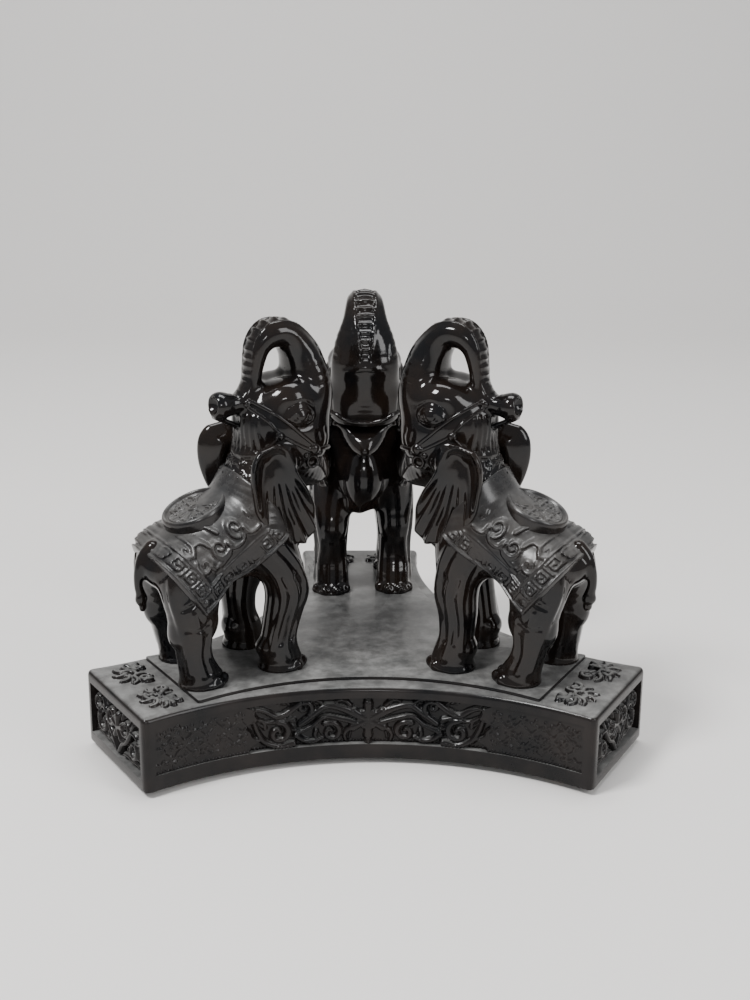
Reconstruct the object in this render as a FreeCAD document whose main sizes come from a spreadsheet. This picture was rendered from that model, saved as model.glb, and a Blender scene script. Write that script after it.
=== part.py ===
"""A stand for a crystal ball: three elephants on a three-armed plinth, heads to the middle.

Millimetres, +Z up, z = 0 where the rubber bumpers rest. The plinth's threefold axis is the Z
axis. Each elephant is modelled once in its own frame: x runs outward along its arm from head
to tail, y across it, and z up from the soles of its feet.
"""
import FreeCAD, Part
import math
import os

from FreeCAD import Placement, Rotation, Vector

os.makedirs("parts", exist_ok=True)
doc = FreeCAD.newDocument("SphereStand")

# ---------------------------------------------------------------- driving dimensions
DIMENSIONS = {
    "bumper_radius": 4.5,
    "bumper_height": 1.5,
    "bumper_reach": 64.0,        # from the axis along the arm
    "bumper_spread": 10.5,       # to either side of the arm's middle
    "arm_length": 75.0,          # axis to the flat end of an arm
    "arm_half_width": 18.9,      # at that flat end
    "waist_radius": 34.5,        # axis to the middle of a concave side
    "base_height": 20.1,
    "rim_round": 1.4,            # rounding of the upper rim
    "corner_round": 1.6,         # rounding of the upright arm corners
    "plateau_step": 0.9,
    "plateau_reach": 59.0,       # axis to the plateau's straight edge
    "plateau_half_width": 16.6,  # at that edge
    "plateau_waist": 29.3,       # axis to the middle of its concave edge
    "rail_height": 4.2,          # lower rail under each side panel
    "cornice_height": 3.0,       # plain band above each side panel
    "panel_depth": 1.2,
    "post_width": 3.2,           # plain upright left at each end of a side panel
    "end_frame": 3.0,            # frame around the recess in an arm's end
    "end_depth": 1.6,
    "back_offset": 5.0,          # how far each elephant is moved out along its arm
    "left_offset": -0.8,
    "right_offset": -1.8,
    "back_aside": 0.0,           # and how far to its left
    "left_aside": -2.2,
    "right_aside": 1.0,
    "hind_stride": 2.0,          # one hind foot back by this, the other forward by half
    "coin_radius": 8.9,
    "coin_thickness": 4.0,
    "coin_rim": 1.3,
    "coin_sink": 0.5,
    "coin_tilt": 21.0,           # degrees, lower toward the tail
    "ear_thickness": 1.7,
    "ear_flare": 9.0,            # degrees that the back edge stands off the neck
    "saddle_front": 15.7,        # cone that the blanket is cut from
    "saddle_rear": 10.5,
    "strap_ring": 11.2,
    "strap_radius": 1.5,
    "eye_radius": 1.3,
}

sheet = doc.addObject("Spreadsheet::Sheet", "Dimensions")
for row, (alias, value) in enumerate(DIMENSIONS.items(), start=1):
    sheet.set(f"A{row}", alias)
    sheet.set(f"B{row}", str(value))
    sheet.setAlias(f"B{row}", alias)
doc.recompute()


def size(alias):
    """The value of a cell, for the few shapes that no expression can reach."""
    return float(sheet.get(alias))


def cell(alias):
    return f"Dimensions.{alias}"


def make(kind, name, **expressions):
    """A document object whose properties follow expressions over the sheet."""
    item = doc.addObject(kind, name)
    for prop, expression in expressions.items():
        item.setExpression(prop.replace("__", "."), expression)
    return item


def turned(item, degrees, reach=0.0, height=0.0, spread=0.0):
    """Puts an item on a bearing about the Z axis, `reach` out and `spread` to its left."""
    turn = Rotation(Vector(0, 0, 1), degrees)
    item.Placement = Placement(turn.multVec(Vector(reach, spread, height)), turn)
    return item


def fused(name, parts):
    item = doc.addObject("Part::MultiFuse", name)
    item.Shapes = parts
    return item


def common(name, parts):
    item = doc.addObject("Part::MultiCommon", name)
    item.Shapes = parts
    return item


def cut(name, base, tool):
    item = doc.addObject("Part::Cut", name)
    item.Base, item.Tool = base, tool
    return item


# ---------------------------------------------------------------- plinth
ARMS = {"back": 90.0, "left": 210.0, "right": 330.0}
HOLLOWS = [angle + 60.0 for angle in ARMS.values()]


def hollow_circle(reach, half_width, waist):
    """Centre distance and radius of the arc that joins two arm corners past the waist."""
    square = reach**2 + half_width**2 - waist**2
    along = reach * math.cos(math.radians(60)) + half_width * math.sin(math.radians(60))
    centre = square / (2 * (along - waist))
    return centre, centre - waist


def three_armed(name, reach, half_width, waist, height, floor):
    """A triangular prism with its three corners hollowed away by upright cylinders."""
    block = make("Part::Prism", name + "Block", Circumradius=f"2 * {cell(reach)}", Height=height)
    block.Polygon = 3
    turned(block, 30.0, height=floor)
    centre, radius = hollow_circle(size(reach), size(half_width), size(waist))
    tools = []
    for number, angle in enumerate(HOLLOWS):
        tool = make("Part::Cylinder", f"{name}Hollow{number}", Height=height)
        tool.Radius = radius
        tools.append(turned(tool, angle, reach=centre, height=floor))
    return cut(name, block, fused(name + "Hollows", tools))


floor = size("bumper_height")
deck = floor + size("base_height")
plateau_top = deck + size("plateau_step")

slab = three_armed("Slab", "arm_length", "arm_half_width", "waist_radius",
                   cell("base_height"), floor)
doc.recompute()


def corner_edges(shape):
    """Upright edges at the ends of the arms, and the upper rim."""
    for number, edge in enumerate(shape.Edges, start=1):
        box = edge.BoundBox
        if box.ZLength > size("base_height") - 0.01:
            yield number, size("corner_round")


def rim_edges(shape):
    for number, edge in enumerate(shape.Edges, start=1):
        if edge.BoundBox.ZMin > deck - 0.01:
            yield number, size("rim_round")


def rounded(name, base, edges):
    item = doc.addObject("Part::Fillet", name)
    item.Base = base
    item.Edges = [(number, radius, radius) for number, radius in edges(base.Shape)]
    doc.recompute()
    return item


slab = rounded("SlabCorners", slab, corner_edges)
slab = rounded("SlabRim", slab, rim_edges)

plateau = three_armed("Plateau", "plateau_reach", "plateau_half_width", "plateau_waist",
                      f"{cell('plateau_step')} + {cell('rim_round')}",
                      deck - size("rim_round"))

panel_height = f"{cell('base_height')} - {cell('rail_height')} - {cell('cornice_height')}"
panel_floor = floor + size("rail_height")
hollow_reach, hollow_radius = hollow_circle(size("arm_length"), size("arm_half_width"),
                                            size("waist_radius"))
corner = math.degrees(math.atan2(
    size("arm_length") * math.sin(math.radians(60)) - size("arm_half_width") / 2,
    hollow_reach - size("arm_length") / 2 - size("arm_half_width") * math.sin(math.radians(60))))
panel_sweep = 2 * (corner - math.degrees(size("post_width") / hollow_radius))

recesses = []
for number, angle in enumerate(HOLLOWS):
    panel = make("Part::Cylinder", f"SidePanel{number}", Height=panel_height)
    panel.Radius = hollow_radius + size("panel_depth")
    panel.Angle = panel_sweep
    turn = Rotation(Vector(0, 0, 1), angle)
    panel.Placement = Placement(turn.multVec(Vector(hollow_reach, 0, panel_floor)),
                                Rotation(Vector(0, 0, 1), angle + 180 - panel_sweep / 2))
    recesses.append(panel)
for name, angle in ARMS.items():
    recess = make("Part::Box", f"EndRecess_{name}",
                  Length=f"2 * {cell('end_depth')}",
                  Width=f"2 * ({cell('arm_half_width')} - {cell('end_frame')})",
                  Height=f"{cell('base_height')} - 2 * {cell('end_frame')}")
    half = size("arm_half_width") - size("end_frame")
    turned(recess, angle, reach=size("arm_length") - size("end_depth"),
           height=floor + size("end_frame"), spread=-half)
    recesses.append(recess)

base = cut("base", fused("SlabWithPlateau", [slab, plateau]), fused("Recesses", recesses))

bumpers = []
for name, angle in ARMS.items():
    for letter, side in (("a", 1), ("b", -1)):
        bumper = make("Part::Cylinder", f"bumper_{name}_{letter}",
                      Radius=cell("bumper_radius"), Height=cell("bumper_height"))
        bumpers.append(turned(bumper, angle, reach=size("bumper_reach"),
                              spread=side * size("bumper_spread")))

# ---------------------------------------------------------------- one elephant
# Each limb is a row of oval sections: (x, y, z) of the middle, then the half-size in the
# elephant's plane of symmetry and the half-size across it. No primitive has such a shape.
TRUNK = [
    (24.5, 0, 60.5, 6.8, 7.4), (20.2, 0, 66.2, 6.4, 8.6), (18.4, 0, 72.0, 6.2, 9.3),
    (18.8, 0, 77.6, 5.7, 8.3), (20.7, 0, 83.2, 4.8, 6.1), (24.2, 0, 87.2, 4.2, 5.4),
    (29.0, 0, 87.6, 4.1, 5.0), (32.4, 0, 84.6, 3.4, 4.3), (33.9, 0, 79.4, 2.8, 3.6),
    (34.8, 0, 74.6, 2.7, 3.2), (37.2, 0, 70.8, 2.8, 3.3), (42.8, 0, 69.8, 3.5, 3.7),
]
TORSO = [
    (64.2, 0, 30.8, 2.0, 3.2), (62.4, 0, 30.6, 4.4, 7.0), (59.0, 0, 30.4, 6.7, 10.2),
    (53.5, 0, 31.2, 8.9, 12.2), (46.8, 0, 33.6, 10.8, 13.0), (40.8, 0, 36.8, 10.8, 12.8),
    (36.4, 0, 41.0, 10.0, 12.2), (33.8, 0, 47.2, 8.7, 11.4), (31.8, 0, 53.5, 7.6, 8.8),
    (30.6, 0, 59.5, 7.0, 7.6), (29.8, 0, 65.0, 6.6, 6.8),
]
BENT_FRONT_LEG = [
    (33.0, 8.0, 36.0, 6.4, 5.2), (31.0, 9.0, 28.0, 6.0, 5.4), (30.0, 9.3, 21.0, 5.5, 5.1),
    (32.0, 9.3, 11.0, 4.6, 4.6), (31.8, 9.3, 5.0, 5.4, 5.2), (31.0, 9.3, 0.0, 6.2, 5.4),
    (30.8, 9.3, -2.0, 6.3, 5.4),
]
STRAIGHT_FRONT_LEG = [
    (34.0, -8.0, 36.0, 6.4, 5.2), (33.6, -9.0, 28.0, 6.0, 5.4), (33.4, -9.3, 21.0, 5.3, 5.1),
    (33.8, -9.3, 11.0, 4.6, 4.6), (33.4, -9.3, 5.0, 5.4, 5.2), (32.6, -9.3, 0.0, 6.2, 5.4),
    (32.4, -9.3, -2.0, 6.3, 5.4),
]
HIND_LEG = [
    (56.2, 8.0, 30.0, 7.4, 6.0), (56.2, 9.0, 24.5, 7.0, 5.8), (56.2, 9.4, 18.0, 6.2, 5.2),
    (55.4, 9.5, 9.5, 4.4, 4.6), (53.6, 9.5, 4.0, 4.9, 5.0), (52.2, 9.5, 0.0, 6.0, 5.3),
    (51.6, 9.5, -2.0, 6.1, 5.3),
]
TAIL = [
    (63.2, 0, 32.4, 1.6, 1.6), (65.2, 0, 29.4, 1.3, 1.3), (65.8, 0, 25.6, 1.2, 1.2),
    (65.2, 0, 22.4, 1.8, 1.8), (64.4, 0, 20.2, 0.8, 0.8),
]
JAW = [
    (25.0, 0, 54.0, 8.0, 8.0), (20.5, 0, 51.6, 6.2, 6.2), (16.4, 0, 49.6, 4.2, 4.2),
    (13.6, 0, 48.0, 1.8, 2.2),
]
# Outlines in the plane of symmetry, each point (x, z).
EAR = [
    (35.5, 61.8), (40.4, 60.0), (42.2, 54.0), (40.4, 44.0), (36.0, 39.4), (30.0, 34.6),
    (24.6, 33.8), (21.5, 37.0), (21.9, 43.0), (26.0, 49.5), (29.6, 55.0), (30.6, 59.6),
]
BLANKET = [
    (32.0, 36.0), (42.7, 28.6), (54.9, 21.5), (64.5, 34.5), (63.0, 44.0),
    (50.0, 56.0), (43.5, 54.0), (41.0, 44.0),
]
EAR_HINGE = (24.0, 0.0, 0.0)
EAR_REACH = 10.6          # across, at the hinge
STRAP_MIDDLE = (28.0, 0.0, 62.5)
STRAP_AXIS = (-0.66, 0.0, 0.75)
COIN_SEAT = (49.4, 0.0, 41.0)


def stepped(stations, side, stride):
    """A leg put on one side, its foot moved by the stride and its hip left where it is."""
    hip = stations[0][2]
    return [(x + stride * (1 - z / hip), side * y, z, deep, wide)
            for x, y, z, deep, wide in stations]


OVAL_POINTS = 8


def oval(middle, tangent, deep, wide):
    """A closed oval wire square to the tangent, starting on its inner side."""
    across = Vector(0, 1, 0)
    inward = across.cross(tangent).normalize()
    points = []
    for step in range(OVAL_POINTS):
        angle = 2 * math.pi * step / OVAL_POINTS
        points.append(middle + inward * deep * math.cos(angle) + across * wide * math.sin(angle))
    curve = Part.BSplineCurve()
    curve.interpolate(points, True)
    return Part.Wire(curve.toShape())


def limb(name, stations, level_end=False):
    """A solid lofted through a row of oval sections."""
    middles = [Vector(*station[:3]) for station in stations]
    wires = []
    for number, (middle, station) in enumerate(zip(middles, stations)):
        before = middles[max(number - 1, 0)]
        after = middles[min(number + 1, len(middles) - 1)]
        tangent = (after - before).normalize()
        if level_end and number == len(middles) - 1:
            tangent = Vector(0, 0, -1)
        wires.append(oval(middle, tangent, *station[3:]))
    item = doc.addObject("Part::Feature", name)
    item.Shape = Part.makeLoft(wires, True, False)
    return item


def ellipsoid(name, middle, deep, wide, tall):
    item = doc.addObject("Part::Ellipsoid", name)
    item.Radius1, item.Radius2, item.Radius3 = tall, deep, wide
    item.Placement = Placement(Vector(*middle), Rotation())
    return item


def outline(name, points, smooth):
    """A closed outline drawn in the elephant's plane of symmetry."""
    sketch = doc.addObject("Sketcher::SketchObject", name)
    corners = [Vector(x, z, 0) for x, z in points]
    if smooth:
        curve = Part.BSplineCurve()
        curve.interpolate(corners, True)
        sketch.addGeometry(curve)
    else:
        for start, end in zip(corners, corners[1:] + corners[:1]):
            sketch.addGeometry(Part.LineSegment(start, end))
    sketch.Placement = Placement(Vector(), Rotation(Vector(1, 0, 0), 90))
    return sketch


def extruded(name, sketch, length, both_ways=False):
    item = make("Part::Extrusion", name, LengthFwd=length)
    item.Base, item.DirMode, item.Solid, item.Symmetric = sketch, "Normal", True, both_ways
    return item


HEAD = dict(middle=(26.6, 0, 64.6), deep=11.6, wide=10.7, tall=11.4)
parts = [
    limb("Trunk", TRUNK), limb("Torso", TORSO), limb("Jaw", JAW), limb("Tail", TAIL),
    limb("FrontLegBent", BENT_FRONT_LEG, True),
    limb("FrontLegStraight", STRAIGHT_FRONT_LEG, True),
    limb("HindLegBack", stepped(HIND_LEG, 1, size("hind_stride")), True),
    limb("HindLegForward", stepped(HIND_LEG, -1, -size("hind_stride") / 2), True),
    ellipsoid("Head", **HEAD),
]

ear_outline = outline("EarOutline", EAR, smooth=True)
for name, side in (("EarNear", -1), ("EarFar", 1)):
    ear = extruded(name, ear_outline, cell("ear_thickness"), both_ways=True)
    hinge = Vector(*EAR_HINGE)
    flare = Rotation(Vector(0, 0, 1), side * size("ear_flare"))
    ear.Placement = Placement(hinge - flare.multVec(hinge) + Vector(0, side * EAR_REACH, 0),
                              flare)
    parts.append(ear)

for name, side in (("EyeNear", -1), ("EyeFar", 1)):
    eye = make("Part::Sphere", name, Radius=cell("eye_radius"))
    eye.Placement = Placement(Vector(25.3, side * 9.6, 67.6), Rotation())
    parts.append(eye)

for name, side in (("EarRootNear", -1), ("EarRootFar", 1)):
    parts.append(ellipsoid(name, (30.6, side * 9.4, 55.6), 4.4, 3.7, 4.8))

# The blanket is the part of a cone about the barrel of the body that its outline cuts out.
front, rear = Vector(36.0, 0, 33.8), Vector(66.0, 0, 25.2)
saddle = make("Part::Cone", "Saddle", Radius1=cell("saddle_front"), Radius2=cell("saddle_rear"))
saddle.Height = (rear - front).Length
saddle.Placement = Placement(front, Rotation(Vector(0, 0, 1), rear - front))
blanket_cutter = extruded("BlanketCutter", outline("BlanketOutline", BLANKET, smooth=False),
                          "40", both_ways=True)
parts.append(common("Blanket", [saddle, blanket_cutter]))

strap = make("Part::Torus", "Strap", Radius1=cell("strap_ring"), Radius2=cell("strap_radius"))
strap.Placement = Placement(Vector(*STRAP_MIDDLE), Rotation(Vector(0, 0, 1), Vector(*STRAP_AXIS)))
parts.append(strap)

coin = make("Part::Cylinder", "CoinBlank", Radius=cell("coin_radius"),
            Height=cell("coin_thickness"))
coin_hollow = make("Part::Cylinder", "CoinHollow", Height=cell("coin_thickness"),
                   Radius=f"{cell('coin_radius')} - {cell('coin_rim')}")
lean = Rotation(Vector(0, 1, 0), size("coin_tilt"))
for disc, lift in ((coin, 0.0), (coin_hollow, size("coin_thickness") - size("coin_sink"))):
    disc.Placement = Placement(Vector(*COIN_SEAT) + lean.multVec(Vector(0, 0, lift)), lean)
parts.append(cut("Coin", coin, coin_hollow))

ground = make("Part::Box", "Ground", Length="200", Width="100", Height="20")
ground.Placement = Placement(Vector(-50, -50, -20), Rotation())
form = cut("ElephantForm", fused("ElephantMass", parts), ground)
elephants = []
for name, angle in ARMS.items():
    elephant = doc.addObject("App::Link", f"elephant_{name}")
    elephant.LinkedObject = form
    elephants.append(turned(elephant, angle, size(f"{name}_offset"), plateau_top,
                            size(f"{name}_aside")))

# ---------------------------------------------------------------- checks and export
doc.recompute()
for item in doc.Objects:
    if {"Invalid", "Error"} & set(item.State):
        raise SystemExit(f"{item.Label} did not build: {item.State}")
for node in [base, *elephants, *bumpers]:
    shape = Part.getShape(node)
    if shape.isNull() or not shape.isValid() or len(shape.Solids) != 1:
        raise SystemExit(f"{node.Label} is not one valid solid: {len(shape.Solids)}")
    shape.Solids[0].exportStep(f"parts/{node.Label}.step")
    box = shape.optimalBoundingBox(True)
    print(f"{node.Label:18s} {shape.Volume / 1000:8.2f} cm3  z {box.ZMin:7.2f} to {box.ZMax:7.2f}")
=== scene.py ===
"""The sphere stand with three elephants, in metres and in the CAD's frame, +Z up.

Each elephant is sculpted once in millimetres as a signed distance field in its own frame (x
outward from head to tail, y across, z up from the soles), turned into meshes, and then set at
its place on the three arms. The plinth's relief is drawn from curved strokes.
"""
import math

import bpy
import numpy as np
from mathutils import Matrix, Vector


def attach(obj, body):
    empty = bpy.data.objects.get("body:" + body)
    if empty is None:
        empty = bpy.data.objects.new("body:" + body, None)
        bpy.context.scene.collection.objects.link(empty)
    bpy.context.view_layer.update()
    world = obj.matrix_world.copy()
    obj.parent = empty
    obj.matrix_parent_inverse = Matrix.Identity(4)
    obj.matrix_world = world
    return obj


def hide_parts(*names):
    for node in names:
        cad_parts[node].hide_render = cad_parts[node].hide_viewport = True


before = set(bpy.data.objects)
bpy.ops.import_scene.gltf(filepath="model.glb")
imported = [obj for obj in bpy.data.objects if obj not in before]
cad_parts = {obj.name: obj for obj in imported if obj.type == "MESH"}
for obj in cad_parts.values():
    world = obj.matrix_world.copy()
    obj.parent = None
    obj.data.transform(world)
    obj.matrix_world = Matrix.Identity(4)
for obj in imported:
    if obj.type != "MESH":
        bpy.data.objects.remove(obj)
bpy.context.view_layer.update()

MM = 0.001
ARMS = {"back": 90.0, "left": 210.0, "right": 330.0}
# how far each elephant stands from its even place: outward, and to its own left
STANDS = {"back": (5.0, 0.0), "left": (-0.8, -2.2), "right": (-1.8, 1.0)}
BUMPER, DECK, PLATEAU = 1.5, 21.6, 22.5  # heights above the table
FAR = 1e3  # outside anything, in millimetres
COARSE = 1.0


# ---- distance fields ----
def smooth_min(a, b, blend):
    h = np.clip(0.5 + 0.5 * (b - a) / blend, 0, 1)
    return b * (1 - h) + a * h - blend * h * (1 - h)


def smooth_step(low, high, value):
    k = np.clip((value - low) / (high - low), 0, 1)
    return k * k * (3 - 2 * k)


def bump(value, middle, half_width):
    """1 at the middle, falling smoothly to 0 a half width away."""
    return np.clip(1 - ((value - middle) / half_width) ** 2, 0, 1) ** 1.5


def spline(rows, per):
    """Catmull-Rom points through rows of numbers, `per` to each span."""
    rows = np.asarray(rows, float)
    padded = np.vstack([2 * rows[0] - rows[1], rows, 2 * rows[-1] - rows[-2]])
    out = []
    for p0, p1, p2, p3 in zip(padded, padded[1:], padded[2:], padded[3:]):
        for k in np.arange(per) / per:
            out.append(0.5 * (2 * p1 + (p2 - p0) * k + (2 * p0 - 5 * p1 + 4 * p2 - p3) * k**2
                              + (3 * p1 - p0 - 3 * p2 + p3) * k**3))
    return np.array(out + [rows[-1]])


class Field:
    """Signed distances at the samples of a box, for the half of a body where y > 0."""

    def __init__(self, low, high, step):
        self.step = step = step * COARSE
        low = [low[0], step / 2, low[2]]
        self.axes = [np.arange(a, b + step, step, dtype=np.float32) for a, b in zip(low, high)]
        self.d = np.full([len(axis) for axis in self.axes], FAR, np.float32)

    def window(self, low, high, pad, within=None):
        """Slices of the samples in a box, with their coordinates."""
        cuts = []
        for i, axis in enumerate(self.axes):
            first, last = np.searchsorted(axis, (low[i] - pad, high[i] + pad))
            if within:
                first, last = max(first, within[i].start), min(last, within[i].stop)
            cuts.append(slice(first, max(first, last)))
        x, y, z = (axis[cut] for axis, cut in zip(self.axes, cuts))
        return tuple(cuts), x[:, None, None], y[None, :, None], z[None, None, :]

    def grid(self):
        x, y, z = self.axes
        return x[:, None, None], y[None, :, None], z[None, None, :]

    def merge(self, at, distance, blend, carve):
        if distance.size:
            if carve:
                self.d[at] = -smooth_min(-self.d[at], distance, blend)
            else:
                self.d[at] = smooth_min(self.d[at], distance, blend)

    def ellipsoid(self, middle, radii, blend=1.0, carve=False):
        middle, radii = np.array(middle, float), np.array(radii, float)
        at, x, y, z = self.window(middle - radii, middle + radii, blend + self.step)
        x, y, z = x - middle[0], y - middle[1], z - middle[2]
        near = np.sqrt((x / radii[0]) ** 2 + (y / radii[1]) ** 2 + (z / radii[2]) ** 2)
        slope = np.sqrt((x / radii[0]**2) ** 2 + (y / radii[1]**2) ** 2 + (z / radii[2]**2) ** 2)
        self.merge(at, near * (near - 1) / np.maximum(slope, 1e-6), blend, carve)

    def tube(self, stations, blend=1.0, per=3, carve=False):
        """Stations are rows of x, y, z, half-size in the plane of symmetry and across it."""
        rows = spline(stations, per)
        reach = rows[:, 3:].max(axis=1)[:, None]
        pad = blend + self.step
        low, high = (rows[:, :3] - reach).min(axis=0), (rows[:, :3] + reach).max(axis=0)
        at, x, y, z = self.window(low, high, pad)
        total = np.full((x.shape[0], y.shape[1], z.shape[2]), FAR, np.float32)
        corner = [cut.start for cut in at]
        for a, b in zip(rows, rows[1:]):
            size = max(a[3:].max(), b[3:].max())
            part, px, py, pz = self.window(np.minimum(a, b)[:3] - size,
                                           np.maximum(a, b)[:3] + size, pad, at)
            part = tuple(slice(cut.start - first, cut.stop - first)
                         for cut, first in zip(part, corner))
            e = b[:3] - a[:3]
            k = np.clip(((px - a[0]) * e[0] + (py - a[1]) * e[1] + (pz - a[2]) * e[2])
                        / max(e @ e, 1e-9), 0, 1)
            deep, wide = a[3] + k * (b[3] - a[3]), a[4] + k * (b[4] - a[4])
            far = np.sqrt((px - a[0] - k * e[0]) ** 2 + (pz - a[2] - k * e[2]) ** 2
                          + ((py - a[1] - k * e[1]) * deep / wide) ** 2) - deep
            total[part] = np.minimum(total[part], far)
        self.merge(at, total, blend, carve)

    def skin(self, axis, first, second, side=1):
        """Where the body's outside is on a line along an axis; the other two are given."""
        others = [i for i in range(3) if i != axis]
        index = [0, 0, 0]
        index[axis] = slice(None)
        for i, value in zip(others, (first, second)):
            index[i] = int(np.clip(np.rint((value - self.axes[i][0]) / self.step),
                                   0, len(self.axes[i]) - 1))
        line = self.d[tuple(index)]
        inside = np.flatnonzero(line < 0)
        if not len(inside):
            return None
        j = inside[-1] if side > 0 else inside[0]
        k = min(max(j + side, 0), len(line) - 1)
        share = line[j] / (line[j] - line[k]) if k != j else 0
        return float(self.axes[axis][j] + share * side * self.step)

    def on_skin(self, axis, pairs, side=1, sink=0.0):
        """Points of the body's outside seen along an axis, sunk a little below it."""
        points = []
        for first, second in pairs:
            depth = self.skin(axis, first, second, side)
            if depth is not None:
                point = [first, second]
                point.insert(axis, depth - side * sink)
                points.append(point)
        return points

    def cord(self, points, radius, blend=0.4, carve=False, per=3):
        if len(points) > 1:
            self.tube([(*p, radius, radius) for p in points], blend, per, carve)

    def trace(self, pairs, radius, blend, sink=0.0, carve=False, axis=1):
        """A cord, or a groove, along the body's outside as seen along an axis."""
        self.cord(self.on_skin(axis, pairs, sink=sink), radius, blend, carve)

    def mesh(self, name, relax=1, warp=None):
        """A closed mesh of the zero surface and of its mirror image, its points then warped."""
        d = np.concatenate([self.d[:, ::-1], self.d], axis=1)
        low = np.array([self.axes[0][0], -self.axes[1][-1], self.axes[2][0]])
        d = np.pad(d, 1, constant_values=FAR)
        points, quads = surface_net(d, relax)
        points = (points - 1) * self.step + low
        return new_mesh(name, warp(points) if warp else points, quads.tolist())


def surface_net(d, relax):
    """One vertex in each cell that the surface crosses, one quad for each crossed edge."""
    inside, shape = d < 0, np.array(d.shape)
    cells = shape - 1
    counts, sums = 0, [0, 0, 0]
    quads = []
    for axis in range(3):
        ahead = np.moveaxis(inside, axis, 0)
        crossed = np.argwhere(np.moveaxis(ahead[1:] != ahead[:-1], 0, axis))
        onward = crossed.copy()
        onward[:, axis] += 1
        a, b = d[tuple(crossed.T)], d[tuple(onward.T)]
        point = crossed.astype(np.float64)
        point[:, axis] += a / (a - b)
        u, v = (axis + 1) % 3, (axis + 2) % 3
        around = []
        for du, dv in ((0, 0), (-1, 0), (-1, -1), (0, -1)):
            cell = crossed.copy()
            cell[:, u] += du
            cell[:, v] += dv
            around.append(np.ravel_multi_index(cell.T, cells))
        around = np.stack(around, axis=1)
        flat = around.ravel()
        counts = counts + np.bincount(flat, minlength=cells.prod())
        for i in range(3):
            sums[i] = sums[i] + np.bincount(flat, np.repeat(point[:, i], 4), cells.prod())
        quads.append(np.where((a < 0)[:, None], around, around[:, ::-1]))
    used = np.flatnonzero(counts)
    number = np.zeros(cells.prod(), np.int64)
    number[used] = np.arange(len(used))
    points = np.stack([total[used] / counts[used] for total in sums], axis=1)
    quads = number[np.concatenate(quads)]
    for _ in range(relax):
        total, share = np.zeros_like(points), np.zeros(len(points))
        for i in range(4):
            here, there = quads[:, i], quads[:, (i + 1) % 4]
            share += np.bincount(here, minlength=len(points))
            for axis in range(3):
                total[:, axis] += np.bincount(here, points[there, axis], len(points))
        points = 0.5 * points + 0.5 * total / share[:, None]
    return points, quads


def new_mesh(name, points, faces, flat=0):
    """A mesh, in metres, from points in millimetres; its faces are smooth but for the last."""
    mesh = bpy.data.meshes.new(name)
    mesh.from_pydata((points * MM).tolist(), [], faces)
    mesh.polygons.foreach_set("use_smooth", [True] * (len(faces) - flat) + [False] * flat)
    mesh.update()
    mesh.validate()
    return mesh


# ---- the elephant ----
TRUNK = [
    (23.4, 0, 59.0, 8.6, 9.2), (19.8, 0, 65.6, 7.0, 9.4), (18.4, 0, 72.0, 6.1, 9.4),
    (18.9, 0, 77.4, 5.6, 8.4), (20.8, 0, 82.6, 4.8, 6.4), (24.3, 0, 86.8, 4.2, 5.4),
    (28.9, 0, 87.2, 4.1, 5.0), (32.2, 0, 84.4, 3.4, 4.3), (33.7, 0, 79.4, 2.8, 3.6),
    (34.6, 0, 74.6, 2.6, 3.2), (37.2, 0, 70.8, 2.7, 3.2), (40.6, 0, 69.8, 2.9, 3.2),
    (42.8, 0, 69.9, 3.5, 3.8),
]
TORSO = [
    (64.0, 0, 30.6, 1.8, 3.0), (62.2, 0, 30.4, 4.1, 6.8), (59.0, 0, 30.2, 6.3, 10.0),
    (53.5, 0, 31.1, 8.6, 12.1), (46.8, 0, 33.6, 10.7, 13.0), (40.8, 0, 36.8, 10.8, 12.8),
    (36.4, 0, 41.0, 10.0, 12.2), (33.8, 0, 47.2, 8.7, 11.4), (31.8, 0, 53.5, 7.6, 8.8),
    (30.6, 0, 59.5, 7.0, 7.6), (29.8, 0, 65.0, 6.6, 6.8),
]
FRONT_LEG = [
    (33.5, 8.0, 36.0, 6.8, 5.6), (32.3, 9.0, 28.0, 6.1, 5.6), (31.5, 9.3, 21.0, 5.5, 5.2),
    (32.3, 9.3, 15.0, 4.8, 4.7), (32.6, 9.3, 10.0, 4.5, 4.6), (32.0, 9.3, 5.0, 5.1, 5.0),
    (31.2, 9.3, -1.0, 6.0, 5.4),
]
HIND_LEG = [
    (55.6, 8.0, 30.0, 7.2, 6.0), (56.0, 8.9, 24.5, 6.9, 5.8), (56.0, 9.3, 18.0, 5.9, 5.3),
    (55.6, 9.5, 12.5, 4.8, 4.7), (55.2, 9.5, 8.5, 4.3, 4.5), (53.8, 9.5, 4.0, 4.8, 4.9),
    (52.2, 9.5, -1.0, 5.9, 5.3),
]
HIND_STRIDE, KNEE_BEND, KNEE_SET = 2.0, 1.7, 1.2
HIP, BELLY = 31, (42, 46)  # height where stepping starts; between the legs
EYE = (25.4, 67.4)
SOLES = ((31.2, 6.1), (52.2, 6.0))  # middle and radius of the front and hind soles
JAW = [
    (26.0, 0, 54.5, 8.4, 8.6), (21.0, 0, 51.0, 5.6, 6.4), (17.0, 0, 48.7, 3.4, 4.3),
    (14.2, 0, 47.6, 1.7, 2.3),
]
EAR = [
    (35.5, 61.8), (39.4, 61.0), (41.9, 57.6), (42.2, 52.0), (40.4, 44.6), (36.8, 39.6),
    (33.0, 36.0), (29.0, 34.2), (24.8, 33.7), (21.6, 36.6), (21.6, 42.4), (24.4, 48.0),
    (27.6, 52.6), (29.8, 57.4), (31.8, 60.6),
]
BLANKET = [(31.0, 37.2), (42.7, 28.4), (54.9, 20.5), (60.2, 27.0), (66.8, 36.4), (64.0, 46.0),
           (50.0, 58.0), (41.5, 54.0), (33.0, 44.0)]


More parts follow.
